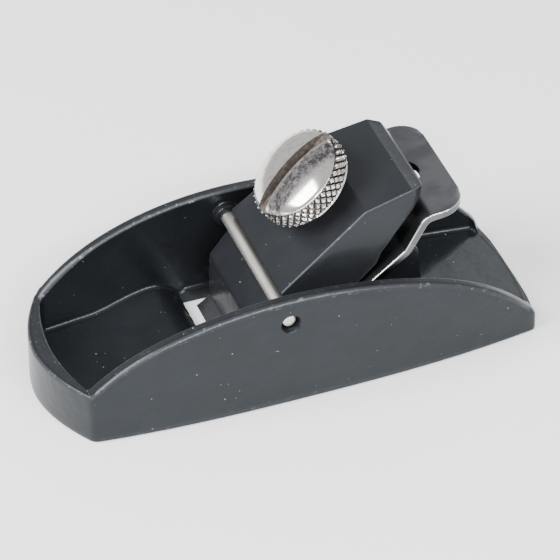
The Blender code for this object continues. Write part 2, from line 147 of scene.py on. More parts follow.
class Dresser:
    """Builds one material: a Principled shader and whatever feeds it."""

    def __init__(self, name: str) -> None:
        """Start a material.

        Args:
            name: the material's name.
        """
        self.material = bpy.data.materials.new(name)
        self.material.use_nodes = True
        self.tree = self.material.node_tree
        self.shader = self.tree.nodes["Principled BSDF"]

    def node(self, kind: str, settings: dict[str, Any] | None = None,
             sockets: dict[Any, Any] | None = None, out: Any = 0) -> Signal:
        """Add any other node.

        Args:
            kind: the node's type.
            settings: properties that are set before its sockets.
            sockets: values or Signals by socket name or number.
            out: name or number of the output to return.

        Returns:
            The chosen output as a Signal.
        """
        node = self.tree.nodes.new(kind)
        for key, value in (settings or {}).items():
            setattr(node, key, value)
        for key, value in (sockets or {}).items():
            feed(self.tree, node.inputs[key], value)
        return Signal(self.tree, node.outputs[out])

    def place(self) -> Signal:
        """Object coordinates in metres."""
        return self.node("ShaderNodeTexCoord", out="Object")

    def wear_and_painted_light(self) -> Signal:
        """The wear_and_painted_light attribute, 0 to 1: rubbing on edges, also used for a painted highlight, and
        on the knurl the groove depth, used for painted shade.
        """
        return self.node("ShaderNodeAttribute", {"attribute_name": "wear_and_painted_light"}, {}, "Fac")

    def noise(self, scale: float, detail: float = 3.0, where: Signal | None = None,
              rough: float = 0.5) -> Signal:
        """Fractal noise between 0 and 1.

        Args:
            scale: features per metre.
            detail: octaves.
            where: coordinates, the object's own when left out.
            rough: how strong each finer octave is.

        Returns:
            The noise value.
        """
        return self.node("ShaderNodeTexNoise", {}, {"Vector": where or self.place(), "Scale": scale,
                                                    "Detail": detail, "Roughness": rough})

    def step(self, value: Signal, low: float, high: float) -> Signal:
        """A smooth step from 0 at low to 1 at high."""
        return self.node("ShaderNodeMapRange", {"interpolation_type": "SMOOTHSTEP"},
                         {"Value": value, "From Min": low, "From Max": high})

    def mix(self, share: Any, first: Any, second: Any) -> Signal:
        """Mix two colours.

        Args:
            share: 0 for the first colour, 1 for the second.
            first, second: colours or Signals.

        Returns:
            The mixed colour.
        """
        return self.node("ShaderNodeMix", {"data_type": "RGBA"}, {0: share, 6: first, 7: second}, 2)

    def stretched(self, scale: Sequence[float], turn: Sequence[float] = (0.0, 0.0, 0.0)) -> Signal:
        """Object coordinates turned and stretched, for grain that runs one way."""
        return self.node("ShaderNodeMapping", {}, {"Vector": self.place(), "Scale": scale, "Rotation": turn})

    def specks(self, scale: float, radius: float, share: float) -> Signal:
        """Scattered round specks: 1 inside one, 0 elsewhere.

        Args:
            scale: cells per metre, one speck a cell at most.
            radius: speck radius as a share of a cell.
            share: share of the cells that hold a speck.

        Returns:
            The mask.
        """
        cells = {"Vector": self.place(), "Scale": scale}
        near = self.node("ShaderNodeTexVoronoi", {}, cells, "Distance")
        cell = self.node("ShaderNodeTexVoronoi", {}, cells, "Color")
        chosen = self.node("ShaderNodeSeparateColor", {}, {0: cell}, 0) < share
        return chosen * (1.0 - self.step(near, radius * 0.6, radius))

    def bump(self, height: Signal, strength: float, distance: float, onto: Signal | None = None) -> Signal:
        """A bumped normal from a height."""
        return self.node("ShaderNodeBump", {}, {"Height": height, "Strength": strength, "Distance": distance,
                                                "Normal": onto})

    def finish(self, **sockets: Any) -> bpy.types.Material:
        """Set the Principled shader's sockets and hand over the material.

        Args:
            sockets: socket names with spaces written as underscores, each a value or a Signal.

        Returns:
            The finished material.
        """
        for key, value in sockets.items():
            feed(self.tree, self.shader.inputs[key.replace("_", " ")], value)
        return self.material


# ---------------------------------------------------------------- finishes


@dataclass(frozen=True)
class Enamel:
    """Satin enamel over cast metal: faint mottling, dust specks, rubbed edges, and a painted highlight line
    along its edges.
    """

    name: str
    tone: Colour
    shade: Colour
    # Colour of rubbed bare metal, also used for the painted edge highlight.
    bare_and_highlight: Colour = (0.26, 0.27, 0.29, 1.0)
    dust: Colour = (0.30, 0.31, 0.33, 1.0)
    roughness: float = 0.25
    lump: float = 0.42
    rub: float = 1.0
    # Strength of the painted highlight laid evenly along every edge, on top of the rubbed chips.
    edge_highlight: float = 0.22
    gloss: float = 0.29
    sheen: Colour = (0.80, 0.90, 1.0, 1.0)
    clouds: float = 140.0
    grains: float = 2600.0
    chips: float = 900.0
    swells: float = 330.0
    swell_height: float = 0.25 * MM
    grain_height: float = 0.06 * MM
    large_dust: tuple[float, float, float] = (620.0, 0.085, 0.13)
    small_dust: tuple[float, float, float] = (1500.0, 0.12, 0.05)

    def build(self) -> bpy.types.Material:
        """Mottled paint, with specks of dust; where the wear_and_painted_light attribute is high, rubbed paint
        and an even painted edge highlight.

        The fields from clouds to swells count features per metre.

        Returns:
            The material.
        """
        make = Dresser(self.name)
        cloud = make.noise(self.clouds, 4.0)
        grain = make.noise(self.grains, 2.0)
        paint = make.mix(make.step(cloud, 0.35, 0.70), self.shade, self.tone)
        dust = (make.specks(*self.large_dust) + make.specks(*self.small_dust)).clipped()
        broken = make.step(make.noise(self.chips, 5.0, rough=0.65), 0.56, 0.70)
        # Rubbed chips plus an even painted highlight along the edges.
        rubbed_and_highlight = (make.wear_and_painted_light() * (broken * self.rub + self.edge_highlight)).clipped()
        colour = make.mix(dust, paint, self.dust)
        colour = make.mix(rubbed_and_highlight * 0.75, colour, self.bare_and_highlight)
        rough = (self.roughness + 0.10 * cloud + 0.25 * dust - 0.10 * rubbed_and_highlight).clipped()
        swell = make.bump(make.noise(self.swells, 3.0), self.lump, self.swell_height)
        normal = make.bump(grain + 2.0 * dust - 1.5 * rubbed_and_highlight, 0.10, self.grain_height, swell)
        return make.finish(Base_Color=colour, Roughness=rough, Normal=normal, Specular_IOR_Level=self.gloss,
                           Specular_Tint=self.sheen, Coat_Weight=0.06, Coat_Roughness=0.08)


@dataclass(frozen=True)
class Nickel:
    """Bright nickel plate, with a painted dark reflection in a band beside the slot and painted shade in the
    knurl's grooves.
    """

    reflection_point: Vector
    across: Vector
    name: str = "nickel_plate"
    bright: Colour = (0.86, 0.83, 0.79, 1.0)
    # Dark tone for the random mottling and for the painted dark reflection.
    dull_and_reflection: Colour = (0.10, 0.10, 0.108, 1.0)
    # Colour of the painted shade in the knurl's grooves.
    groove_shade: Colour = (0.035, 0.033, 0.030, 1.0)
    roughness: float = 0.12
    reflection_half: float = 2.7 * MM
    clouds: float = 900.0
    pits: float = 5200.0
    pit_depth: float = 0.05 * MM

    def build(self) -> bpy.types.Material:
        """Plate whose tone and polish vary in small clouds, with fine pits.

        The painted dark reflection is strongest on a plane through the given point beside the slot, square to
        the across direction, and fades to nothing at the given half width on either side of it.

        Returns:
            The material.
        """
        make = Dresser(self.name)
        cloud = make.noise(self.clouds, 6.0, rough=0.75)
        fine = make.noise(self.pits, 3.0)
        vectors = "ShaderNodeVectorMath"
        offset = make.node(vectors, {"operation": "SUBTRACT"}, {0: make.place(), 1: self.reflection_point})
        away = make.node(vectors, {"operation": "DOT_PRODUCT"}, {0: offset, 1: self.across}, "Value")
        # Band of painted dark reflection beside the slot.
        near = 1.0 - make.step(away.size(), 0.25 * self.reflection_half, self.reflection_half)
        # Random mottling plus the painted dark reflection band.
        mottle_and_reflection = (make.step(cloud + 0.30 * fine, 0.60, 0.84) * 0.35
                  + near * make.step(cloud + 0.35 * fine, 0.36, 0.80)).clipped()
        colour = make.mix(mottle_and_reflection, self.bright, self.dull_and_reflection)
        # Painted shade: the knurl's grooves are darkened nearly to black.
        groove = make.wear_and_painted_light()
        colour = make.mix(make.step(groove, 0.15, 0.75) * 0.95, colour, self.groove_shade)
        rough = (self.roughness + 0.14 * mottle_and_reflection + 0.3 * groove).clipped()
        normal = make.bump(cloud + 0.5 * fine, 0.10, self.pit_depth)
        return make.finish(Base_Color=colour, Metallic=1.0, Roughness=rough, Normal=normal)


@dataclass(frozen=True)
class Grime:
    """Dull plate on the walls and bottom of a slot, brown with old oil."""

    name: str = "slot_grime"
    colour: Colour = (0.095, 0.080, 0.070, 1.0)
    light: Colour = (0.165, 0.142, 0.125, 1.0)
    clouds: float = 1400.0
    lump_height: float = 0.05 * MM

    def build(self) -> bpy.types.Material:
        """Brown-grey film over metal, broken by noise."""
        make = Dresser(self.name)
        cloud = make.noise(self.clouds, 4.0)
        colour = make.mix(make.step(cloud, 0.4, 0.65), self.colour, self.light)
        return make.finish(Base_Color=colour, Metallic=0.5, Roughness=0.42 + 0.25 * cloud,
                           Normal=make.bump(cloud, 0.2, self.lump_height))


@dataclass(frozen=True)
class Steel:
    """Ground or turned steel whose marks run one way, bright along its edges."""

    name: str
    tone: Colour
    shade: Colour
    grain: tuple[float, float, float]
    turn: tuple[float, float, float] = (0.0, 0.0, 0.0)
    roughness: float = 0.30
    bright: Colour = (0.80, 0.80, 0.79, 1.0)
    streaks: float = 0.5
    clouds: float = 180.0
    streak_depth: float = 0.03 * MM

    def build(self) -> bpy.types.Material:
        """Streaks from noise stretched along the grain, with polish where the wear_and_painted_light attribute
        is high.

        Returns:
            The material.
        """
        make = Dresser(self.name)
        streak = make.noise(1.0, 3.0, make.stretched(self.grain, self.turn))
        cloud = make.noise(self.clouds, 3.0)
        worn = make.wear_and_painted_light()
        broad = self.streaks * streak + (1.0 - self.streaks) * cloud
        colour = make.mix(make.step(broad, 0.38, 0.62), self.shade, self.tone)
        colour = make.mix(worn * 0.85, colour, self.bright)
        rough = (self.roughness + 0.14 * self.streaks * streak - 0.16 * worn).clipped()
        normal = make.bump(streak, 0.24 * self.streaks, self.streak_depth)
        return make.finish(Base_Color=colour, Metallic=1.0, Roughness=rough, Normal=normal)


@dataclass(frozen=True)
class FloorPaper:
    """Plain pale paper for the floor."""

    name: str = "pale_paper"
    tone: Colour = (0.90, 0.90, 0.90, 1.0)
    shade: Colour = (0.85, 0.85, 0.85, 1.0)
    tooth: float = 900.0
    glow: float = 0.32

    def build(self) -> bpy.types.Material:
        """Nearly even white with a faint tooth."""
        make = Dresser(self.name)
        colour = make.mix(make.noise(self.tooth, 2.0) * 0.06, self.tone, self.shade)
        return make.finish(Base_Color=colour, Roughness=0.85, Emission_Color=WHITE,
                           Emission_Strength=self.glow)


# ---------------------------------------------------------------- surfaces from arrays


def unit(value: Any) -> Any:
    """The value held between 0 and 1."""
    return np.clip(value, 0.0, 1.0)


def bowed(swing: Array) -> Array:
    """How far a quarter round has left its first tangent at each angle: one less the cosine."""
    return 1.0 - np.cos(swing)


def leaning(swing: Array) -> Array:
    """How far a quarter round still is from its last tangent at each angle: one less the sine."""
    return 1.0 - np.sin(swing)


def round_tail(wide: Any, corner: float, left: Array) -> Array:
    """Half width that closes with a round corner.

    Args:
        wide: half width ahead of the corner.
        corner: the corner's radius.
        left: distance to the end.

    Returns:
        The half width at each place.
    """
    inside = np.clip(corner - left, 0.0, corner)
    return wide - corner + np.sqrt(np.maximum(corner ** 2 - inside ** 2, 0.0))


def placed(name: str, data: bpy.types.ID) -> bpy.types.Object:
    """Put new data into the scene as an object."""
    made = bpy.data.objects.new(name, data)
    bpy.context.scene.collection.objects.link(made)
    return made


def ring_faces(rows: int, columns: int) -> Array:
    """Quads between neighbouring closed rings: each joins a point, the next one round, and those above."""
    low = np.arange(rows - 1)[:, None] * columns
    here = np.arange(columns)[None, :]
    after = (here + 1) % columns
    quads = np.stack([low + here, low + after, low + columns + after, low + columns + here], axis=-1)
    return quads.reshape(-1, 4)


def closed_surface(name: str, grid: Array, wear_and_painted_light: Array | None = None) -> bpy.types.Object:
    """Closed mesh from a stack of closed rings, its two ends closed with a face each.

    Args:
        name: object name.
        grid: points, rows by columns by 3; rows that meet on a line or a point are merged.
        wear_and_painted_light: rubbing at each point, which also sets a painted edge highlight or painted groove
            shade, rows by columns, 0 to 1.

    Returns:
        The object, at the origin, its faces pointing out.
    """
    rows, columns = grid.shape[:2]
    quads = ring_faces(rows, columns).tolist()
    first = list(range(columns))[::-1]
    last = list(range((rows - 1) * columns, rows * columns))
    mesh = bpy.data.meshes.new(name)
    mesh.from_pydata(grid.reshape(-1, 3).tolist(), [], quads + [first, last])
    rubbed_and_highlight = mesh.attributes.new("wear_and_painted_light", "FLOAT", "POINT")
    values = np.zeros(rows * columns) if wear_and_painted_light is None else np.asarray(wear_and_painted_light, float).ravel()
    rubbed_and_highlight.data.foreach_set("value", values.astype(np.float32))
    shape = bmesh.new()
    shape.from_mesh(mesh)
    bmesh.ops.remove_doubles(shape, verts=shape.verts, dist=WELD)
    bmesh.ops.dissolve_degenerate(shape, edges=shape.edges, dist=SLIVER)
    bmesh.ops.recalc_face_normals(shape, faces=shape.faces)
    shape.to_mesh(mesh)
    shape.free()
    return placed(name, mesh)


def shaped(target: bpy.types.Object, tool: bpy.types.Object, cut: Cut) -> None:
    """Apply one Boolean to a piece and take its tool away.

    Args:
        target: the piece.
        tool: the tool's closed shape.
        cut: add or remove.
    """
    step = target.modifiers.new("shaping", "BOOLEAN")
    step.operation = cut.value
    step.solver = "EXACT"
    step.material_mode = "TRANSFER"
    step.object = tool
    bpy.context.view_layer.update()
    result = bpy.data.meshes.new_from_object(target.evaluated_get(bpy.context.evaluated_depsgraph_get()))
    target.modifiers.clear()
    target.data = result
    bpy.data.objects.remove(tool, do_unlink=True)


def finished(piece: bpy.types.Object, dress: bpy.types.Material | None, body: str, node: str,
             sharp: float = 38.0) -> None:
    """Shade, dress and declare a piece.

    Args:
        piece: the object.
        dress: its material, or none when it carries its own.
        body: the CAD body it rides on.
        node: the CAD node it stands for.
        sharp: edges steeper than this many degrees stay sharp.
    """
    piece.data.shade_smooth()
    piece.data.set_sharp_from_angle(angle=math.radians(sharp))
    if dress:
        piece.data.materials.clear()
        piece.data.materials.append(dress)
    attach(piece, body)
    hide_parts(node)
    LOG.info("%s: %d faces, rides on %s", piece.name, len(piece.data.polygons), body)


def bent_path(points: Sequence[Sequence[float]], radii: Sequence[float], step: float) -> tuple[Array, Array]:
    """A path of straight runs whose corners are arcs.

    Each corner is replaced by the arc of its radius that is tangent to both runs.

    Args:
        points: the path's corners in a plane.
        radii: corner radius at each inner point.
        step: spacing along the straight runs.

    Returns:
        Points along the path and the unit normals to their left, each n by 2.
    """
    corner = np.asarray(points, float)
    places: list[Array] = []
    normals: list[Array] = []
    start = corner[0]
    for k in range(1, len(corner)):
        run = corner[k] - corner[k - 1]
        run = run / np.linalg.norm(run)
        left = np.array([-run[1], run[0]])
        end = corner[k]
        if k < len(corner) - 1:
            ahead = corner[k + 1] - corner[k]
            ahead = ahead / np.linalg.norm(ahead)
            turn = math.atan2(run[0] * ahead[1] - run[1] * ahead[0], float(run @ ahead))
            reach = radii[k - 1] * math.tan(abs(turn) / 2)
            end = corner[k] - run * reach
        count = max(2, int(np.linalg.norm(end - start) / step))
        places.append(start + (end - start) * np.linspace(0.0, 1.0, count)[:, None])
        normals.append(np.repeat(left[None], count, axis=0))
        start = end
        if k < len(corner) - 1 and abs(turn) > NEARLY_STRAIGHT:
            side = 1.0 if turn > 0 else -1.0
            centre = end + left * side * radii[k - 1]
            swing = np.linspace(0.0, turn, 9)[1:-1]
            spun = np.stack([left[0] * np.cos(swing) - left[1] * np.sin(swing),
                             left[0] * np.sin(swing) + left[1] * np.cos(swing)], axis=1)
            places.append(centre - spun * side * radii[k - 1])
            normals.append(spun)
            start = corner[k] + ahead * reach
    return np.concatenate(places), np.concatenate(normals)


def slab_ring(radius: Array, tall: Array, across: int = 12, arc: int = 5,
              side: int = 6) -> tuple[Array, Array, Array]:
    """Rounded rectangle seen along a bar, one for each station.

    The ring runs across the top, round a corner, down a side, across the bottom and up again.

    Args:
        radius: corner radius at each station, as a column.
        tall: bar height at each station, as a column.
        across, arc, side: points on each flat, on each corner and down each side.

    Returns:
        Depth below the top and inset from the full half width, both stations by points and in metres.
        The third array holds three rows: the lateral share (-1 to 1), 1 on a flat and 0 elsewhere, and
        the rubbing on the corners, which the enamel also lightens as a painted edge highlight (0 to 1).
    """
    swing = np.linspace(0.0, math.pi / 2, arc)
    flat = np.linspace(-1.0, 1.0, across)
    down = np.linspace(0.0, 1.0, side + 2)[1:-1]
    zero = np.zeros_like(radius)
    rise = radius * bowed(swing)
    run = radius * leaning(swing)
    depth = [zero + 0.0 * flat, rise, radius + (tall - 2 * radius) * down, tall - rise[:, ::-1],
             tall + 0.0 * flat, tall - rise, tall - radius - (tall - 2 * radius) * down, rise[:, ::-1]]
    inset = [zero + 0.0 * flat, run, zero + 0.0 * down, run[:, ::-1]] * 2
    share = np.concatenate([flat, np.ones(arc + side + arc)])
    flag = np.concatenate([np.ones(across), np.zeros(arc + side + arc)])
    # Rubbing on the corners, which the enamel also lightens as a painted highlight.
    rub = np.concatenate([0 * flat, np.sin(2 * swing), 0 * down, np.sin(2 * swing)])
    rows = [np.concatenate([share, -share]), np.tile(flag, 2), np.tile(rub, 2)]
    return np.concatenate(depth, axis=1), np.concatenate(inset, axis=1), np.stack(rows)


def bar(name: str, top: Array, bottom: Array, half: Callable[[Array], Array], edge: float,
        middle: float = 0.0) -> bpy.types.Object:
    """A bar lofted between two paths in the XZ plane, with rounded long edges.

    At each station a rounded rectangle stands between the top path's point and the bottom path's.

    Args:
        name: object name.
        top: top path, n by 2 (x, z).
        bottom: bottom path, n by 2.
        half: half width as a function of x.
        edge: radius of the long edges, held to just under half of the height.
        middle: y of the bar's middle plane.

    Returns:
        The closed bar.
    """
    just_under_half = 0.49
    height = np.linalg.norm(top - bottom, axis=1)[:, None]
    radius = np.minimum(edge, height * just_under_half)
    depth, inset, (lateral, on_flat, rub) = slab_ring(radius, height)
    share = depth / height
    x = top[:, :1] * (1.0 - share) + bottom[:, :1] * share
    z = top[:, 1:] * (1.0 - share) + bottom[:, 1:] * share
    wide = half(x)
    y = lateral * (wide - np.where(on_flat > 0, radius, inset)) + middle
    return closed_surface(name, np.stack([x, y, z], axis=-1), np.broadcast_to(rub, x.shape))


def turned(name: str, radius: Array, height: Array, base: Vector, axis: Vector,
           wear_and_painted_light: Array | None = None) -> bpy.types.Object:
    """A turned shape: each point lies at its radius from the axis, at its height along it.

    Args:
        name: object name.
        radius: rows by columns, the columns evenly spaced round the axis.
        height: the same, along the axis from the base.
        base: point on the axis.
        axis: unit direction; the first column lies towards the +X side of the axis.
        wear_and_painted_light: rubbing at each point, or groove depth that is painted as shade.

    Returns:
        The closed shape.
    """
    spin = np.linspace(0.0, 2.0 * math.pi, radius.shape[1], endpoint=False)
    side = UP if abs(axis.y) > abs(axis.z) else ACROSS
    ahead = side.cross(axis).normalized()
    side = axis.cross(ahead)
    grid = (np.array(base) + height[..., None] * np.array(axis)
            + (radius * np.cos(spin))[..., None] * np.array(ahead)
            + (radius * np.sin(spin))[..., None] * np.array(side))
    return closed_surface(name, grid, wear_and_painted_light)


def plain_turned(name: str, profile: Sequence[tuple[float, ...]], base: Vector, axis: Vector,
                 columns: int = 64) -> bpy.types.Object:
    """A turned shape, the same all the way round.

    Args:
        name: object name.
        profile: (radius, height) points, or (radius, height, rubbing) points; the rubbing also sets a painted
            edge highlight.
        base: point on the axis.
        axis: unit direction.
        columns: points round the axis.

    Returns:
        The closed shape.
    """
    points = np.asarray(profile, float)
    radius, height = (np.repeat(points[:, k:k + 1], columns, axis=1) for k in (0, 1))
    wear_and_painted_light = np.repeat(points[:, 2:], columns, axis=1) if points.shape[1] > 2 else None
    return turned(name, radius, height, base, axis, wear_and_painted_light)


def drill(name: str, radius: float, length: float, base: Vector, axis: Vector) -> bpy.types.Object:
    """A plain cylinder that cuts a hole or a groove, from its base along its axis."""
    return plain_turned(name, [(0.0, 0.0), (radius, 0.0), (radius, length), (0.0, length)], base, axis)


def cross_hole(radius: float, reach: float, pin: Vector) -> bpy.types.Object:
    """A cylinder on the pin's axis that reaches so far to each side."""
    return drill("cross_hole_tool", radius, 2 * reach, pin - ACROSS * reach, ACROSS)


# ---------------------------------------------------------------- the plane's own geometry


@dataclass
class Bed:
    """The sloping bed: the frame its fittings are placed in, and the sizes that they share."""

    angle: float = math.radians(38.0)
    gap: float = 0.3 * MM
    cutter_thick: float = 1.4 * MM
    flat_length: float = 37.2 * MM
    screw_s: float = 32.6 * MM
    cap_top: float = 11.7 * MM
    edge: Vector = field(default_factory=lambda: Vector((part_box("cutter")[0].x, 0.0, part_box("cutter")[0].z)))

    @property
    def along(self) -> Vector:
        """Unit direction up the bed."""
        return Vector((math.cos(self.angle), 0.0, math.sin(self.angle)))

    @property
    def above(self) -> Vector:
        """Unit direction square to the bed."""
        return Vector((-math.sin(self.angle), 0.0, math.cos(self.angle)))

    def point(self, s: float, n: float, y: float = 0.0) -> Vector:
        """A point given in the bed frame."""
        return self.edge + self.along * s + self.above * n + Vector((0.0, y, 0.0))

    def flat(self, path: Array) -> Array:
        """Turn (s, n) rows into (x, z) rows."""
        s, n = path[:, 0], path[:, 1]
        x = self.edge.x + s * math.cos(self.angle) - n * math.sin(self.angle)
        z = self.edge.z + s * math.sin(self.angle) + n * math.cos(self.angle)
        return np.stack([x, z], axis=1)


@dataclass
class BodyCasting:
    """The cast body: sole, arched cheeks, toe wall, dished floor, mouth, ribs and pin bosses."""

    bed: Bed
    pin: Vector
    wall: float = 2.3 * MM
    toe_wall: float = 3.2 * MM
    heel_wall: float = 0.9 * MM
    spine_head: float = 13.0 * MM
    spine_tail: float = 9.0 * MM
    end_taper: float = 2.9 * MM
    taper_power: float = 2.6
    toe_bulge: float = 5.6 * MM
    toe_inner_bulge: float = 2.4 * MM
    toe_power: float = 1.87
    heel_bulge: float = 1.6 * MM
    corner: float = 0.9 * MM
    peak: float = 22.25 * MM
    peak_behind_edge: float = 6.7 * MM
    heel_end: float = 1.65 * MM
    toe_end: float = 2.8 * MM
    toe_rim: float = 10.0 * MM
    heel_share: float = 0.70
    toe_share: float = 0.63
    arch_power: float = 6.0
    sole: float = 2.5 * MM
    crest: float = 4.8 * MM
    crest_ahead: float = 5.2 * MM
    deck_rise: float = 1.2 * MM
    dish: float = 12.8 * MM
    mouth_ahead: float = 2.6 * MM
    mouth_lip: float = 1.6 * MM
    bed_lip: float = 1.0 * MM
    mouth_side: float = 1.6 * MM
    cutter_half: float = 12.7 * MM
    cheek_step: float = 1.6
    rim_outer: float = 1.05 * MM
    toe_rim_share: float = 0.45
    heel_rim: float = 0.5 * MM
    rim_inner: float = 0.34 * MM
    far_rim_inner: float = 0.60 * MM
    corner_rim_inner: float = 1.15 * MM
    corner_rim_from: float = -28.0 * MM
    corner_rim_run: float = 8.0 * MM
    sole_edge: float = 0.25 * MM
    fillet: float = 1.1 * MM
    rib_thick: float = 2.5 * MM
    mid_rib_thick: float = 3.0 * MM
    rib_inset: float = 2.7 * MM
    rib_top: float = 3.5 * MM
    rib_draft: float = math.radians(5.0)
    rib_root: float = 0.8 * MM
    boss: float = 2.3 * MM
    boss_height: float = 1.4 * MM
    hole: float = 1.5 * MM
    countersink: float = 1.75 * MM
    recess: float = 1.0 * MM

    def __post_init__(self) -> None:
        """Read the overall size from the frame."""
        low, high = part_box("body_casting")
        self.half_length = (high.x - low.x) / 2
        self.half_width = (high.y - low.y) / 2
        self.mouth_front = self.bed.edge.x - self.mouth_ahead
        self.crest_x = self.mouth_front - self.crest_ahead
        self.dish_x = self.crest_x - self.dish
        self.peak_x = self.bed.edge.x + self.peak_behind_edge

    def side(self, x: Array) -> Array:
        """Outer half width at x: the full half width less a power of the distance from the middle."""
        return self.half_width - self.end_taper * np.abs(x / self.half_length) ** self.taper_power

    def rim(self, x: Array) -> Array:
        """Rim height at x: a flat arch, its fall a square term plus a sixth power, level at the toe."""
        behind = (x - self.peak_x) / (self.half_length - self.peak_x)
        ahead = (self.peak_x - x) / (self.peak_x + self.half_length)
        reach = unit(np.where(x > self.peak_x, behind, ahead))
        share = np.where(x > self.peak_x, self.heel_share, self.toe_share)
        end = np.where(x > self.peak_x, self.heel_end, self.toe_end)
        fall = share * reach ** 2 + (1 - share) * reach ** self.arch_power
        height = self.peak - (self.peak - end) * fall
        return np.where(x < self.peak_x, np.maximum(height, self.toe_rim), height)

    def floor(self, x: Array) -> Array:
        """Floor height at x: flat behind the toe, a half cosine up to the crest, a square fall to the
        mouth, and a short smooth rise to the level deck behind it."""
        rise = unit((x - self.dish_x) / self.dish)
        fall = unit((x - self.crest_x) / self.crest_ahead)
        back = unit((x - self.mouth_front) / self.deck_rise)
        up = self.sole + (self.crest - self.sole) * (1.0 - np.cos(math.pi * rise)) / 2
        down = self.crest - (self.crest - self.mouth_lip) * fall ** 2
        level = self.mouth_lip + (self.sole - self.mouth_lip) * back * back * (3 - 2 * back)
        height = np.where(x < self.crest_x, up, np.where(x < self.mouth_front, down, level))
        return np.minimum(height, self.rim(x))

    def outline(self, half: Callable[[Array], Array], toe: float, bulge: float, heel: float,
                heel_bulge: float, corner: float) -> Array:
        """Plan outline, counter-clockwise from the near toe corner, as an n by 2 array.

        The near and far sides follow the half width, the ends are powers of the lateral share, and each
        corner is a quadratic curve over its own length.

        Args:
            half: half width as a function of x.
            toe, bulge: foremost x and how far the toe's corners stand behind it.
            heel, heel_bulge: rearmost x and how far the heel's corners stand ahead of it.
            corner: length of each corner's curve.

        Returns:
            The outline's points.
        """
        first = toe + bulge
        last = heel - heel_bulge
        toe_half = float(half(np.array(first)))
        heel_half = float(half(np.array(last)))
        x = np.linspace(first + corner, last - corner, 170)
        near = np.stack([x, -half(x)], axis=1)
        share = np.linspace(-1.0, 1.0, 44)
        inward = 1.0 - corner / heel_half
        end = np.stack([heel - heel_bulge * (share * inward) ** 2, share * inward * heel_half], axis=1)
        inward = 1.0 - corner / toe_half
        front = np.stack([toe + bulge * np.abs(share * inward) ** self.toe_power,
                          -share * inward * toe_half], axis=1)
        far = near[::-1] * [1.0, -1.0]
        corners = [(last, -heel_half), (last, heel_half), (first, toe_half), (first, -toe_half)]
        runs = [near, end, far, front]
        pieces = []
        t = np.linspace(0.0, 1.0, 8)[1:-1, None]
        for k, run in enumerate(runs):
            after = runs[(k + 1) % len(runs)]
            bend = (1 - t) ** 2 * run[-1] + 2 * t * (1 - t) * np.array(corners[k]) + t ** 2 * after[0]
            pieces += [run, bend]
        self.counts = [len(piece) for piece in pieces]
        return np.concatenate(pieces)

    def shell(self) -> bpy.types.Object:
        """The sole, walls and floor as one loft.

        Each column is a section at one place round the outline. It runs from the sole's middle line out
        to the edge, up the outer wall, over the rounded rim, down the inner wall, round the fillet and
        across the floor back to the middle line.

        Returns:
            The closed shell.
        """
        hl = self.half_length
        outer = self.outline(self.side, -hl, self.toe_bulge, hl, self.heel_bulge, self.corner)
        inner = self.outline(lambda x: self.side(x) - self.wall, self.toe_wall - hl, self.toe_inner_bulge,
                             hl - self.heel_wall, self.heel_bulge, self.corner)
        order = np.arange(len(outer))
        near, bend_a, end, bend_b, far, bend_c, front, bend_d = np.split(order, np.cumsum(self.counts)[:-1])
        rear = np.concatenate([bend_a, end, bend_b])
        spine = np.zeros_like(outer)
        head, tail = self.spine_head - hl, hl - self.spine_tail
        spine[near, 0] = np.linspace(head, tail, len(near))
        spine[far, 0] = np.linspace(tail, head, len(far))
        spine[rear, 0] = tail
        spine[np.concatenate([bend_c, front, bend_d]), 0] = head
        wide = np.abs(outer[:, 1])
        past = (wide - (self.side(outer[:, 0]) - self.wall)) / self.wall
        cheek = np.ones(len(outer))
        step = unit(past[rear] * self.cheek_step)
        cheek[rear] = step * step * (3 - 2 * step)

        width = np.linalg.norm(inner - outer, axis=1)
        inward = (inner - outer) / width[:, None]
        length = np.linalg.norm(spine - inner, axis=1)
        onward = (spine - inner) / length[:, None]
        tall = (self.rim(inner[:, 0]) - self.floor(inner[:, 0])) * cheek
        rounding = np.full(len(outer), self.rim_inner)
        toward_toe = unit((self.corner_rim_from - outer[far, 0]) / self.corner_rim_run)
        rounding[far] = self.far_rim_inner + (self.corner_rim_inner - self.far_rim_inner) * toward_toe
        rounding[bend_c] = self.corner_rim_inner
        fit = np.clip(tall / (rounding + self.fillet + 0.1 * MM), 0.02, 1.0)
        at_toe = np.zeros(len(outer))
        at_toe[front] = 1.0
        at_toe[np.concatenate([bend_c, bend_d])] = 0.5
        r_out = self.rim_outer * (1.0 - self.toe_rim_share * at_toe)
        r_out[rear] = self.heel_rim
        r_in = rounding * fit
        r_fil = self.fillet * fit
        swing = np.linspace(0.0, math.pi / 2, 9)[:, None]
        t = np.linspace(0.0, 1.0, 18)[1:-1, None]
        rows: list[Array] = []
        wear_and_painted_light_rows: list[Array] = []

        def lay(start: Array, toward: Array, reach: Array, height: Callable[[Array], Array],
                rub: Any) -> None:
            """Add section rows: a start and a direction in plan, distances, heights from x, and rubbing, which
            also sets a painted edge highlight.
            """
            plan = start + toward * reach[..., None]
            rows.append(np.concatenate([plan, height(plan[..., 0])[..., None]], axis=-1))
            wear_and_painted_light_rows.append(np.broadcast_to(np.asarray(rub, float), plan.shape[:2]))

        def rim_at(x: Array) -> Array:
            """Rim height where the cheek stands, falling to the deck across the heel."""
            return self.floor(x) + (self.rim(x) - self.floor(x)) * cheek

        foot = outer + inward * self.sole_edge
        g = np.linspace(0.0, 1.0, 12)[:, None]
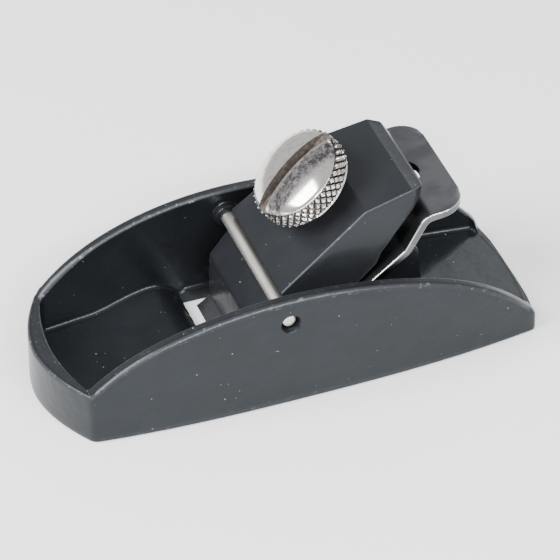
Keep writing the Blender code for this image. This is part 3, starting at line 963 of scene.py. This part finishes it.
        # Each lay's last argument is rubbing; the enamel also lightens it as a painted highlight along the rims
        # and the sole's edge.
        lay(spine, foot - spine, g + 0.0 * width, lambda x: 0.0 * x, 0.0)
        under = swing[1::4]
        lay(outer, inward, self.sole_edge * leaning(under) + 0.0 * width,
            lambda x: self.sole_edge * bowed(under) + 0 * x, 0.3)
        lay(outer, inward, 0.0 * t + 0.0 * width,
            lambda x: self.sole_edge + (rim_at(x) - r_out - self.sole_edge) * t, 0.0)
        lay(outer, inward, r_out * bowed(swing), lambda x: rim_at(x) - r_out * leaning(swing),
            0.75 * np.sin(2 * swing) ** 2)
        u = np.linspace(0.0, 1.0, 6)[1:-1, None]
        lay(outer, inward, r_out + (width - r_out - r_in) * u, rim_at, 0.12)
        lay(outer, inward, width - r_in * leaning(swing), lambda x: rim_at(x) - r_in * bowed(swing),
            np.sin(2 * swing) ** 0.5)
        lay(inner, onward, 0.0 * t + 0.0 * width,
            lambda x: rim_at(x) - r_in + (self.floor(x) + r_fil - rim_at(x) + r_in) * t, 0.0)
        lay(inner, onward, r_fil * bowed(swing), lambda x: self.floor(x) + r_fil * leaning(swing), 0.0)
        u = np.linspace(0.0, 1.0, 30)[1:, None]
        lay(inner, onward, r_fil + (length - r_fil) * u, self.floor, 0.0)
        return closed_surface("body_casting_shell", np.concatenate(rows), np.concatenate(wear_and_painted_light_rows))

    def bed_line(self, x: float) -> float:
        """Height of the bed at x, just clear of the cutter's lower face."""
        below = (self.bed.cutter_thick + self.bed.gap) / math.cos(self.bed.angle)
        return self.bed.edge.z + (x - self.bed.edge.x) * math.tan(self.bed.angle) - below

    def bed_reach(self, height: float) -> float:
        """The x at which the bed reaches a height."""
        return self.bed.edge.x + (height - self.bed_line(self.bed.edge.x)) / math.tan(self.bed.angle)

    def mouth(self) -> bpy.types.Object:
        """The slot through the sole: square in front and sloped like the bed behind."""
        front = self.mouth_front
        low, lip, top = -2.0 * MM, self.bed_lip, 6.0 * MM
        rear = [self.bed_reach(lip), self.bed_reach(lip), self.bed_reach(top)]
        left = np.array([[front, low], [front, lip], [front, top]])
        right = np.array([[rear[0], low], [rear[1], lip], [rear[2], top]])
        half = self.cutter_half + self.mouth_side
        return bar("mouth_tool", right, left, lambda x: half + 0.0 * x, 0.05 * MM)

    def rib(self, name: str, middle: float, thick: float) -> bpy.types.Object:
        """A bed rib: it rises along the bed, runs level, and ends in a drafted rear face."""
        crown = self.bed.point(self.bed.flat_length, 0.0).x
        top = self.bed_line(crown)
        rear = crown + self.rib_top
        foot = rear + top * math.tan(self.rib_draft)
        root = self.sole - self.rib_root
        corners = [(self.bed_reach(root), root), (crown, top), (rear, top), (foot, root + 0.02 * MM)]
        path, _ = bent_path(corners, [0.8 * MM, 0.6 * MM], 1.2 * MM)
        base = np.stack([path[:, 0], np.full(len(path), root - 0.05 * MM)], axis=1)
        return bar(name, path, base, lambda x: thick / 2 + 0.0 * x, 0.35 * MM, middle)

    def build(self, dress: bpy.types.Material) -> None:
        """Shell, mouth, ribs, bosses and pin holes.

        Args:
            dress: the enamel.
        """
        piece = self.shell()
        shaped(piece, self.mouth(), Cut.REMOVE)
        outside = self.cutter_half - self.rib_inset
        middles = [(self.rib_thick / 2 - outside, self.rib_thick), (0.0, self.mid_rib_thick),
                   (outside - self.rib_thick / 2, self.rib_thick)]
        for order, (middle, thick) in enumerate(middles):
            shaped(piece, self.rib(f"rib_tool_{order}", middle, thick), Cut.ADD)
        half = float(self.side(np.array(self.pin.x)))
        for side in (-1.0, 1.0):
            wall = self.pin + Vector((0.0, side * (half - self.wall), 0.0))
            inward = Vector((0.0, -side, 0.0))
            r, h = self.boss, self.boss_height
            root = r + 0.2 * MM
            profile = [(0.0, -0.6 * MM), (root, -0.6 * MM), (root, 0.0), (r + 0.05 * MM, 0.15 * MM),
                       (r, 0.6 * MM), (r - 0.05 * MM, h - 0.35 * MM), (r - 0.15 * MM, h - 0.1 * MM),
                       (r - 0.4 * MM, h), (0.0, h)]
            shaped(piece, plain_turned("boss_tool", profile, wall, inward), Cut.ADD)
            face = self.pin + Vector((0.0, side * half, 0.0))
            c, deep, outside = self.countersink, self.recess, 3 * MM
            # The third column is rubbing round the countersink's edge, which the enamel also lightens there as a
            # painted highlight.
            profile = [(0.0, -deep, 0.0), (self.hole, -deep, 0.0), (c - 0.15 * MM, -0.32 * MM, 0.2),
                       (c - 0.1 * MM, -0.22 * MM, 1.0), (c + 0.08 * MM, -0.04 * MM, 1.0),
                       (c + 0.2 * MM, 0.1 * MM, 0.6), (c + 0.2 * MM, outside, 0.0), (0.0, outside, 0.0)]
            shaped(piece, plain_turned("countersink_tool", profile, face, -inward), Cut.REMOVE)
        shaped(piece, cross_hole(self.hole, half + 2 * MM, self.pin), Cut.REMOVE)
        finished(piece, dress, "body", "body_casting")


@dataclass
class CrossPin:
    """The steel pin that the cap bears up against."""

    pin: Vector
    chamfer: float = 0.25 * MM
    centre: float = 0.45 * MM

    def build(self, dress: bpy.types.Material) -> None:
        """A turned rod with chamfered, centre-drilled ends.

        Args:
            dress: the steel.
        """
        low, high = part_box("cross_pin")
        radius = (high.z - low.z) / 2
        length = high.y - low.y
        c, d = self.chamfer, self.centre
        half = [(0.0, d), (d * 0.8, 0.0), (radius - c, 0.0), (radius - c * 0.3, c * 0.3), (radius, c)]
        body = [(radius, h) for h in np.linspace(2 * c, length - 2 * c, 40)]
        profile = half + body + [(r, length - h) for r, h in reversed(half)]
        piece = plain_turned("cross_pin_rod", profile, Vector((self.pin.x, low.y, self.pin.z)), ACROSS, 48)
        finished(piece, dress, "body", "cross_pin")


@dataclass
class LeverCap:
    """The lever cap: a hollow cast wedge with a nose under the pin and a dipped tail."""

    bed: Bed
    pin: Vector
    nose_s: float = 3.3 * MM
    nose_face: float = 9.0 * MM
    pin_s: float = 15.8 * MM
    plate_s: float = 17.45 * MM
    step_n: float = 9.3 * MM
    top_s: float = 37.8 * MM
    tail_s: float = 45.8 * MM
    tail_drop: float = math.radians(26.0)
    roll: float = 1.5 * MM
    skin: float = 2.6 * MM
    wall: float = 2.0 * MM
    heel_s: float = 32.0 * MM
    heel_run: float = 2.0 * MM
    heel_n: float = 2.0 * MM
    rock_room: float = 0.9 * MM
    taper: float = 1.8 * MM
    tail_corner: float = 3.0 * MM
    edge: float = 0.28 * MM
    boss: float = 4.8 * MM
    boss_depth: float = 2.2 * MM
    bore: float = 3.05 * MM
    groove: float = 1.5 * MM

    def __post_init__(self) -> None:
        """Read the cap's width and rear end from the frame."""
        low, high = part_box("lever_cap")
        self.half_width = (high.y - low.y) / 2
        self.rear_x = high.x

    def half(self, x: Array) -> Array:
        """Half width at x: full to the pin, then drawn in evenly, with a round corner at the tail."""
        along = unit((x - self.pin.x) / (self.rear_x - self.pin.x))
        return round_tail(self.half_width - self.taper * along, self.tail_corner, self.rear_x - x)

    def block(self) -> bpy.types.Object:
        """The outer shape, lofted from the nose to the tail between its top and bottom lines."""
        gap = self.bed.gap
        rise = np.array([math.sin(self.bed.angle), math.cos(self.bed.angle)]) * self.nose_face
        plate, tall = self.plate_s, self.bed.cap_top
        tail_n = tall - (self.tail_s - self.top_s) * math.tan(self.tail_drop)
        end_s = self.tail_s + self.roll
        top = [(self.nose_s, gap + 0.35 * MM), (self.nose_s + rise[0], gap + rise[1]),
               (plate - 1.2 * MM, self.step_n - 0.15 * MM), (plate, self.step_n),
               (plate + 0.12 * MM, tall), (self.top_s, tall), (self.tail_s, tail_n),
               (end_s, tail_n - self.roll), (end_s + 0.01 * MM, tail_n - self.skin)]
        low = [(self.nose_s, gap), (self.pin_s, gap), (self.heel_s, self.rock_room),
               (self.heel_s + self.heel_run, self.heel_n), (self.tail_s, tail_n - self.skin - gap),
               (end_s + 0.01 * MM, tail_n - self.skin + 0.02 * MM)]
        upper, _ = bent_path(top, [r * MM for r in (1.4, 0.3, 0.2, 0.28, 1.2, 1.2, 0.5)], 1.0 * MM)
        lower, _ = bent_path(low, [r * MM for r in (1.0, 1.6, 1.6, 0.6)], 1.0 * MM)
        stations = np.unique(np.round(np.concatenate([upper[:, 0], lower[:, 0]]), 6))
        top_line = np.stack([stations, np.interp(stations, upper[:, 0], upper[:, 1])], axis=1)
        low_line = np.stack([stations, np.interp(stations, lower[:, 0], lower[:, 1])], axis=1)
        low_line[:, 1] = np.minimum(low_line[:, 1], top_line[:, 1] - 0.3 * MM)
        return bar("lever_cap_cast", self.bed.flat(top_line), self.bed.flat(low_line), self.half, self.edge)

    def hollow(self) -> bpy.types.Object:
        """The space under the plate and between the side walls, open below and behind."""
        inner = self.bed.cap_top - self.skin
        past = 8 * MM
        ahead = 0.6 * MM
        fall = (self.tail_s + past - self.top_s + ahead) * math.tan(self.tail_drop)
        top = [(self.pin_s - 1.2 * MM, 4.75 * MM), (self.pin_s + 3.8 * MM, inner),
               (self.top_s - ahead, inner), (self.tail_s + past, inner - fall)]
        upper, _ = bent_path(top, [1.0 * MM, 1.0 * MM], 1.5 * MM)
        lower = np.stack([upper[:, 0], np.full(len(upper), -past)], axis=1)

        def half(x: Array) -> Array:
            """Half width of the hollow: the cap's own less the wall, its taper running on past the tail."""
            along = np.clip((x - self.pin.x) / (self.rear_x - self.pin.x), 0.0, 1.5)
            return self.half_width - self.wall - self.taper * along

        return bar("cap_hollow_tool", self.bed.flat(upper), self.bed.flat(lower), half, 0.8 * MM)

    def build(self, dress: bpy.types.Material) -> None:
        """Block, hollow, screw boss, bore and pin groove.

        Args:
            dress: the enamel.
        """
        piece = self.block()
        shaped(piece, self.hollow(), Cut.REMOVE)
        inner = self.bed.cap_top - self.skin
        low = self.bed.point(self.bed.screw_s, inner - self.boss_depth)
        r, h = self.boss, self.boss_depth
        root, buried = r + 0.5 * MM, h + 0.6 * MM
        profile = [(0.0, 0.0), (r - 0.3 * MM, 0.0), (r, 0.3 * MM), (r, h - 0.4 * MM), (root, h + 0.1 * MM),
                   (root, buried), (0.0, buried)]
        shaped(piece, plain_turned("boss_tool", profile, low, self.bed.above), Cut.ADD)
        b, top, chamfer = self.bore, self.bed.cap_top, 0.3 * MM
        profile = [(0.0, 0.0), (b, 0.0), (b, top - chamfer), (b + chamfer, top), (b + chamfer, top + 3 * MM),
                   (0.0, top + 3 * MM)]
        start = self.bed.point(self.bed.screw_s, 0.0)
        shaped(piece, plain_turned("bore_tool", profile, start, self.bed.above), Cut.REMOVE)
        shaped(piece, cross_hole(self.groove, 20 * MM, self.pin), Cut.REMOVE)
        finished(piece, dress, "lever_cap", "lever_cap")


@dataclass
class Cutter:
    """The cutter: bevelled edge, flat on the bed, a kick up and a level thumb tail with a hole."""

    bed: Bed
    bevel: float = math.radians(25.0)
    kick_angle: float = math.radians(61.0)
    kick_length: float = 7.3 * MM
    tail_angle: float = math.radians(6.0)
    tail_length: float = 8.2 * MM
    bend: float = 1.8 * MM
    tail_corner: float = 4.6 * MM
    edge: float = 0.22 * MM
    hole: float = 3.6 * MM
    hole_from_end: float = 7.7 * MM
    ground: float = 4.2 * MM

    def build(self, dress: bpy.types.Material, fresh: bpy.types.Material) -> None:
        """A bent plate lofted along its face, with a hole through its tail.

        Args:
            dress: the steel.
            fresh: the newly ground steel next to the edge.
        """
        low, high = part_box("cutter")
        wide = (high.y - low.y) / 2
        start = np.array([self.bed.edge.x, self.bed.edge.z])
        corners = [start]
        for angle, length in ((self.bed.angle, self.bed.flat_length), (self.kick_angle, self.kick_length),
                              (self.tail_angle, self.tail_length)):
            corners.append(corners[-1] + length * np.array([math.cos(angle), math.sin(angle)]))
        face, left = bent_path(corners, [self.bend, self.bend + self.bed.cutter_thick], 0.35 * MM)
        run = np.linalg.norm(face - start, axis=1)
        thick = np.clip(run * math.tan(self.bevel), 0.02 * MM, self.bed.cutter_thick)
        under = face - left * thick[:, None]

        def half(x: Array) -> Array:
            """Half width: full, with round corners at the tail."""
            return round_tail(wide, self.tail_corner, high.x - x)

        piece = bar("cutter_blade", face, under, half, self.edge)
        piece.data.materials.append(dress)
        piece.data.materials.append(fresh)
        for polygon in piece.data.polygons:
            reach = (polygon.center - self.bed.edge).dot(self.bed.along)
            polygon.material_index = int(reach < self.ground)
        hole = Vector((corners[-1][0] - self.hole_from_end, 0.0, 0.0))
        shaped(piece, drill("hole_tool", self.hole, 60 * MM, hole, UP), Cut.REMOVE)
        finished(piece, None, "cutter", "cutter")


@dataclass
class ThumbScrew:
    """The thumb screw: threaded shank, thin flange, diamond-knurled band and slotted dome."""

    bed: Bed
    shank: float = 2.75 * MM
    pitch: float = 0.8 * MM
    thread: float = 0.30 * MM
    plain_neck: float = 2.6 * MM
    tip_length: float = 0.9 * MM
    tip_room: float = 1.0 * MM
    lift: float = 3.6 * MM
    flange: float = 8.4 * MM
    flange_thick: float = 0.5 * MM
    head: float = 8.9 * MM
    band: float = 3.3 * MM
    dome: float = 2.2 * MM
    knurls: int = 38
    knurl_depth: float = 0.55 * MM
    knurl_end: float = 0.16 * MM
    knurl_climb: float = 1.25
    knurl_flat: float = 1.7
    lip: float = 0.12 * MM
    seam: float = 0.05 * MM
    # How far beside the slot the painted dark reflection lies.
    reflection_side: float = 3.1 * MM
    slot_width: float = 2.2 * MM
    slot_depth: float = 2.4 * MM
    slot_turn: float = math.radians(10.0)

    def seat(self, above: float = 0.0) -> Vector:
        """The point on the screw's axis at the head's underside, or so far above it."""
        return self.bed.point(self.bed.screw_s, self.bed.cap_top + self.lift + above)

    def head_shape(self) -> bpy.types.Object:
        """Flange, band and dome.

        The band's radius falls from its crest by the knurl's depth times a pattern of diamonds: the
        smaller of two triangle waves that cross, one climbing to the left and one to the right.

        Returns:
            The closed head.
        """
        columns = self.knurls * 10
        spin = np.linspace(0.0, 1.0, columns, endpoint=False)[None, :] * self.knurls
        t = np.linspace(0.0, 1.0, 30)[:, None]
        pitch = 2 * math.pi * self.head / self.knurls
        climb = t * self.band / (pitch * self.knurl_climb)
        wave_a = 1.0 - np.abs(2.0 * np.mod(spin + climb, 1.0) - 1.0)
        wave_b = 1.0 - np.abs(2.0 * np.mod(spin - climb, 1.0) - 1.0)
        crest = unit(np.minimum(wave_a, wave_b) * self.knurl_flat)
        ends = unit(np.minimum(t, 1.0 - t) * self.band / self.knurl_end)
        low_radius = self.head - self.knurl_depth
        band_r = low_radius + (self.head - low_radius) * crest * ends
        groove = 1.0 - crest * ends
        base = self.flange_thick
        band_h = base + t * self.band + 0.0 * spin
        plain = np.ones((1, columns))
        under = np.array([(self.shank * 0.9, 0.0), (self.flange - 0.12 * MM, 0.0), (self.flange, 0.10 * MM),
                          (self.flange, base - 0.1 * MM), (self.flange - 0.1 * MM, base)])
        rim = base + self.band
        dome_r = low_radius + 0.02 * MM
        swing = np.linspace(0.0, math.pi / 2, 6)[:, None]
        lip_r = dome_r - self.lip * bowed(swing)
        lip_h = rim + self.seam + self.lip * np.sin(swing)
        out = np.linspace(1.0, 0.0, 34)[1:, None]
        cap_r = (dome_r - self.lip) * out
        rise = self.dome - self.lip - self.seam
        cap_h = rim + self.seam + self.lip + rise * (1.0 - out ** 2) ** 0.75
        radius = np.concatenate([under[:, :1] * plain, band_r, lip_r * plain, cap_r * plain])
        height = np.concatenate([under[:, 1:] * plain, band_h, lip_h * plain, cap_h * plain])
        # The knurl's groove depth, which the nickel darkens as painted shade.
        wear_and_painted_light = np.zeros_like(radius)
        wear_and_painted_light[len(under):len(under) + len(groove)] = groove
        return turned("thumb_screw_head", radius, height, self.seat(), self.bed.above, wear_and_painted_light)

    def dark_reflection_place(self) -> tuple[Vector, Vector]:
        """Where the painted dark reflection lies on the dome: a point beside the slot, and the direction across
        the slot.
        """
        across = Matrix.Rotation(self.slot_turn, 3, self.bed.above) @ ACROSS
        return self.seat(self.flange_thick + self.band + self.dome) - across * self.reflection_side, across

    def slot_tool(self, dress: bpy.types.Material) -> bpy.types.Object:
        """A bar that cuts the driving slot across the dome, with the slot's own finish on it."""
        top = self.flange_thick + self.band + self.dome
        reach = self.head + 2 * MM
        line = np.array([[-reach, top + 2 * MM], [reach, top + 2 * MM]])
        floor = np.array([[-reach, top - self.slot_depth], [reach, top - self.slot_depth]])
        tool = bar("slot_tool", line, floor, lambda x: self.slot_width / 2 + 0.0 * x, 0.05 * MM)
        place = Matrix.Translation(self.seat())
        tilt = Matrix.Rotation(-self.bed.angle, 4, "Y")
        tool.data.transform(place @ tilt @ Matrix.Rotation(self.slot_turn, 4, "Z"))
        tool.data.materials.append(dress)
        return tool

    def shank_shape(self) -> bpy.types.Object:
        """Shank and tip; the radius dips along a helix, a triangle wave once every pitch of height."""
        columns = 48
        length = self.bed.cap_top + self.lift + 0.2 * MM - self.tip_room
        rows = int(length / self.pitch * 8)
        spin = np.linspace(0.0, 1.0, columns, endpoint=False)[None, :]
        h = np.linspace(0.0, length, rows)[:, None]
        wave = np.abs(2.0 * np.mod(h / self.pitch - spin, 1.0) - 1.0)
        plain_end = unit((length - self.plain_neck - h) / self.pitch)
        radius = self.shank - self.thread * (1.0 - unit(wave * 1.25)) * plain_end
        tip = unit(h / self.tip_length)
        radius = np.minimum(radius, self.shank * 0.69 + (self.shank * 0.31) * tip)
        closed = np.concatenate([np.zeros((1, columns)), radius, np.zeros((1, columns))])
        height = np.concatenate([np.zeros((1, columns)), h + 0.0 * spin, np.full((1, columns), length)])
        return turned("thumb_screw_shank", closed, height, self.bed.point(self.bed.screw_s, self.tip_room),
                      self.bed.above)

    def build(self, plate: bpy.types.Material, grime: bpy.types.Material) -> None:
        """Head with its slot, and the shank under it.

        Args:
            plate: the nickel.
            grime: the slot's finish.
        """
        head = self.head_shape()
        head.data.materials.append(plate)
        shaped(head, self.slot_tool(grime), Cut.REMOVE)
        finished(head, None, "thumb_screw", "thumb_screw", 30.0)
        finished(self.shank_shape(), plate, "thumb_screw", "thumb_screw", 30.0)


# ---------------------------------------------------------------- studio


@dataclass(frozen=True)
class Lamp:
    """A rectangular soft light: where it stands, its two sides in metres, and its watts."""

    name: str
    place: tuple[float, float, float]
    size: tuple[float, float]
    power: float

    def build(self, target: Vector) -> None:
        """Make the light and face it to the target."""
        data = bpy.data.lights.new(self.name, "AREA")
        data.shape = "RECTANGLE"
        data.size, data.size_y = self.size
        data.energy = self.power
        made = placed(self.name, data)
        made.location = self.place
        made.rotation_euler = (target - Vector(self.place)).to_track_quat("-Z", "Y").to_euler()


@dataclass
class Studio:
    """Pale floor, soft light and the camera."""

    azimuth: float = math.radians(20.39)
    elevation: float = math.radians(39.56)
    roll: float = math.radians(-0.49)
    distance: float = 0.7721
    lens: float = 285.2
    sensor: float = 36.0
    nearest: float = 0.01
    target: Vector = field(default_factory=lambda: Vector((0.00069, 0.0, 0.01241)))
    floor_half: float = 1.5
    floor_drop: float = 0.2 * MM
    sky: float = 0.72
    lamps: tuple[Lamp, ...] = (Lamp("front_strip", (0.02, -0.50, 0.50), (0.70, 0.05), 7.0),
                               Lamp("toe_softbox", (-0.60, -0.07, 0.54), (0.46, 0.46), 11.0),
                               Lamp("back_light", (0.34, 0.52, 0.50), (0.20, 0.12), 0.40))

    def camera(self) -> None:
        """Place the camera: a long lens that looks down on the plane from its near toe side."""
        a, e, r = self.azimuth, self.elevation, self.roll
        ahead = Vector((math.sin(a) * math.cos(e), math.cos(a) * math.cos(e), -math.sin(e)))
        right = Vector((math.cos(a), -math.sin(a), 0.0))
        up = right.cross(ahead)
        turned_right = right * math.cos(r) + up * math.sin(r)
        turned_up = up * math.cos(r) - right * math.sin(r)
        place = self.target - ahead * self.distance
        data = bpy.data.cameras.new("studio_camera")
        data.lens = self.lens
        data.sensor_width = self.sensor
        data.clip_start = self.nearest
        made = placed("studio_camera", data)
        columns = (turned_right, turned_up, -ahead)
        made.matrix_world = Matrix([[c[k] for c in columns] + [place[k]] for k in range(3)] + [[0, 0, 0, 1]])
        bpy.context.scene.camera = made

    def build(self) -> None:
        """Floor, world, lamps and camera."""
        h, z = self.floor_half, -self.floor_drop
        mesh = bpy.data.meshes.new("studio_floor")
        mesh.from_pydata([(-h, -h, z), (h, -h, z), (-h, h, z), (h, h, z)], [], [[0, 1, 3, 2]])
        mesh.materials.append(FloorPaper().build())
        placed("studio_floor", mesh)
        world = bpy.data.worlds.new("studio_world")
        bpy.context.scene.world = world
        world.use_nodes = True
        light = world.node_tree.nodes["Background"].inputs
        light["Color"].default_value = WHITE
        light["Strength"].default_value = self.sky
        for lamp in self.lamps:
            lamp.build(self.target)
        self.camera()


def main() -> None:
    """Build every piece in order."""
    logging.basicConfig(level=logging.INFO, format="%(message)s")
    bed = Bed()
    pin = sum(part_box("cross_pin"), Vector()) / 2
    body_paint = Enamel("body_enamel", (0.0105, 0.0118, 0.0135, 1.0), (0.0082, 0.0092, 0.0106, 1.0))
    cap_paint = Enamel("cap_enamel", (0.0180, 0.0192, 0.0218, 1.0), (0.0150, 0.0160, 0.0182, 1.0), rub=0.6,
                       gloss=0.22)
    BodyCasting(bed, pin).build(body_paint.build())
    CrossPin(pin).build(Steel("turned_steel", (0.88, 0.86, 0.81, 1.0), (0.74, 0.72, 0.67, 1.0),
                              (1200.0, 90.0, 1200.0), roughness=0.42).build())
    LeverCap(bed, pin).build(cap_paint.build())
    grain = ((120.0, 2600.0, 2600.0), (0.0, bed.angle, 0.0))
    ground = Steel("ground_steel", (0.155, 0.16, 0.17, 1.0), (0.105, 0.11, 0.12, 1.0), *grain, 0.31,
                   streaks=0.15)
    fresh = Steel("fresh_steel", (0.085, 0.088, 0.093, 1.0), (0.065, 0.068, 0.072, 1.0), *grain, 0.60,
                  streaks=0.3)
    Cutter(bed).build(ground.build(), fresh.build())
    screw = ThumbScrew(bed)
    # The nickel's painted dark reflection sits in a band beside the screw's slot.
    screw.build(Nickel(*screw.dark_reflection_place()).build(), Grime().build())
    Studio().build()


if __name__ == "__main__":
    main()
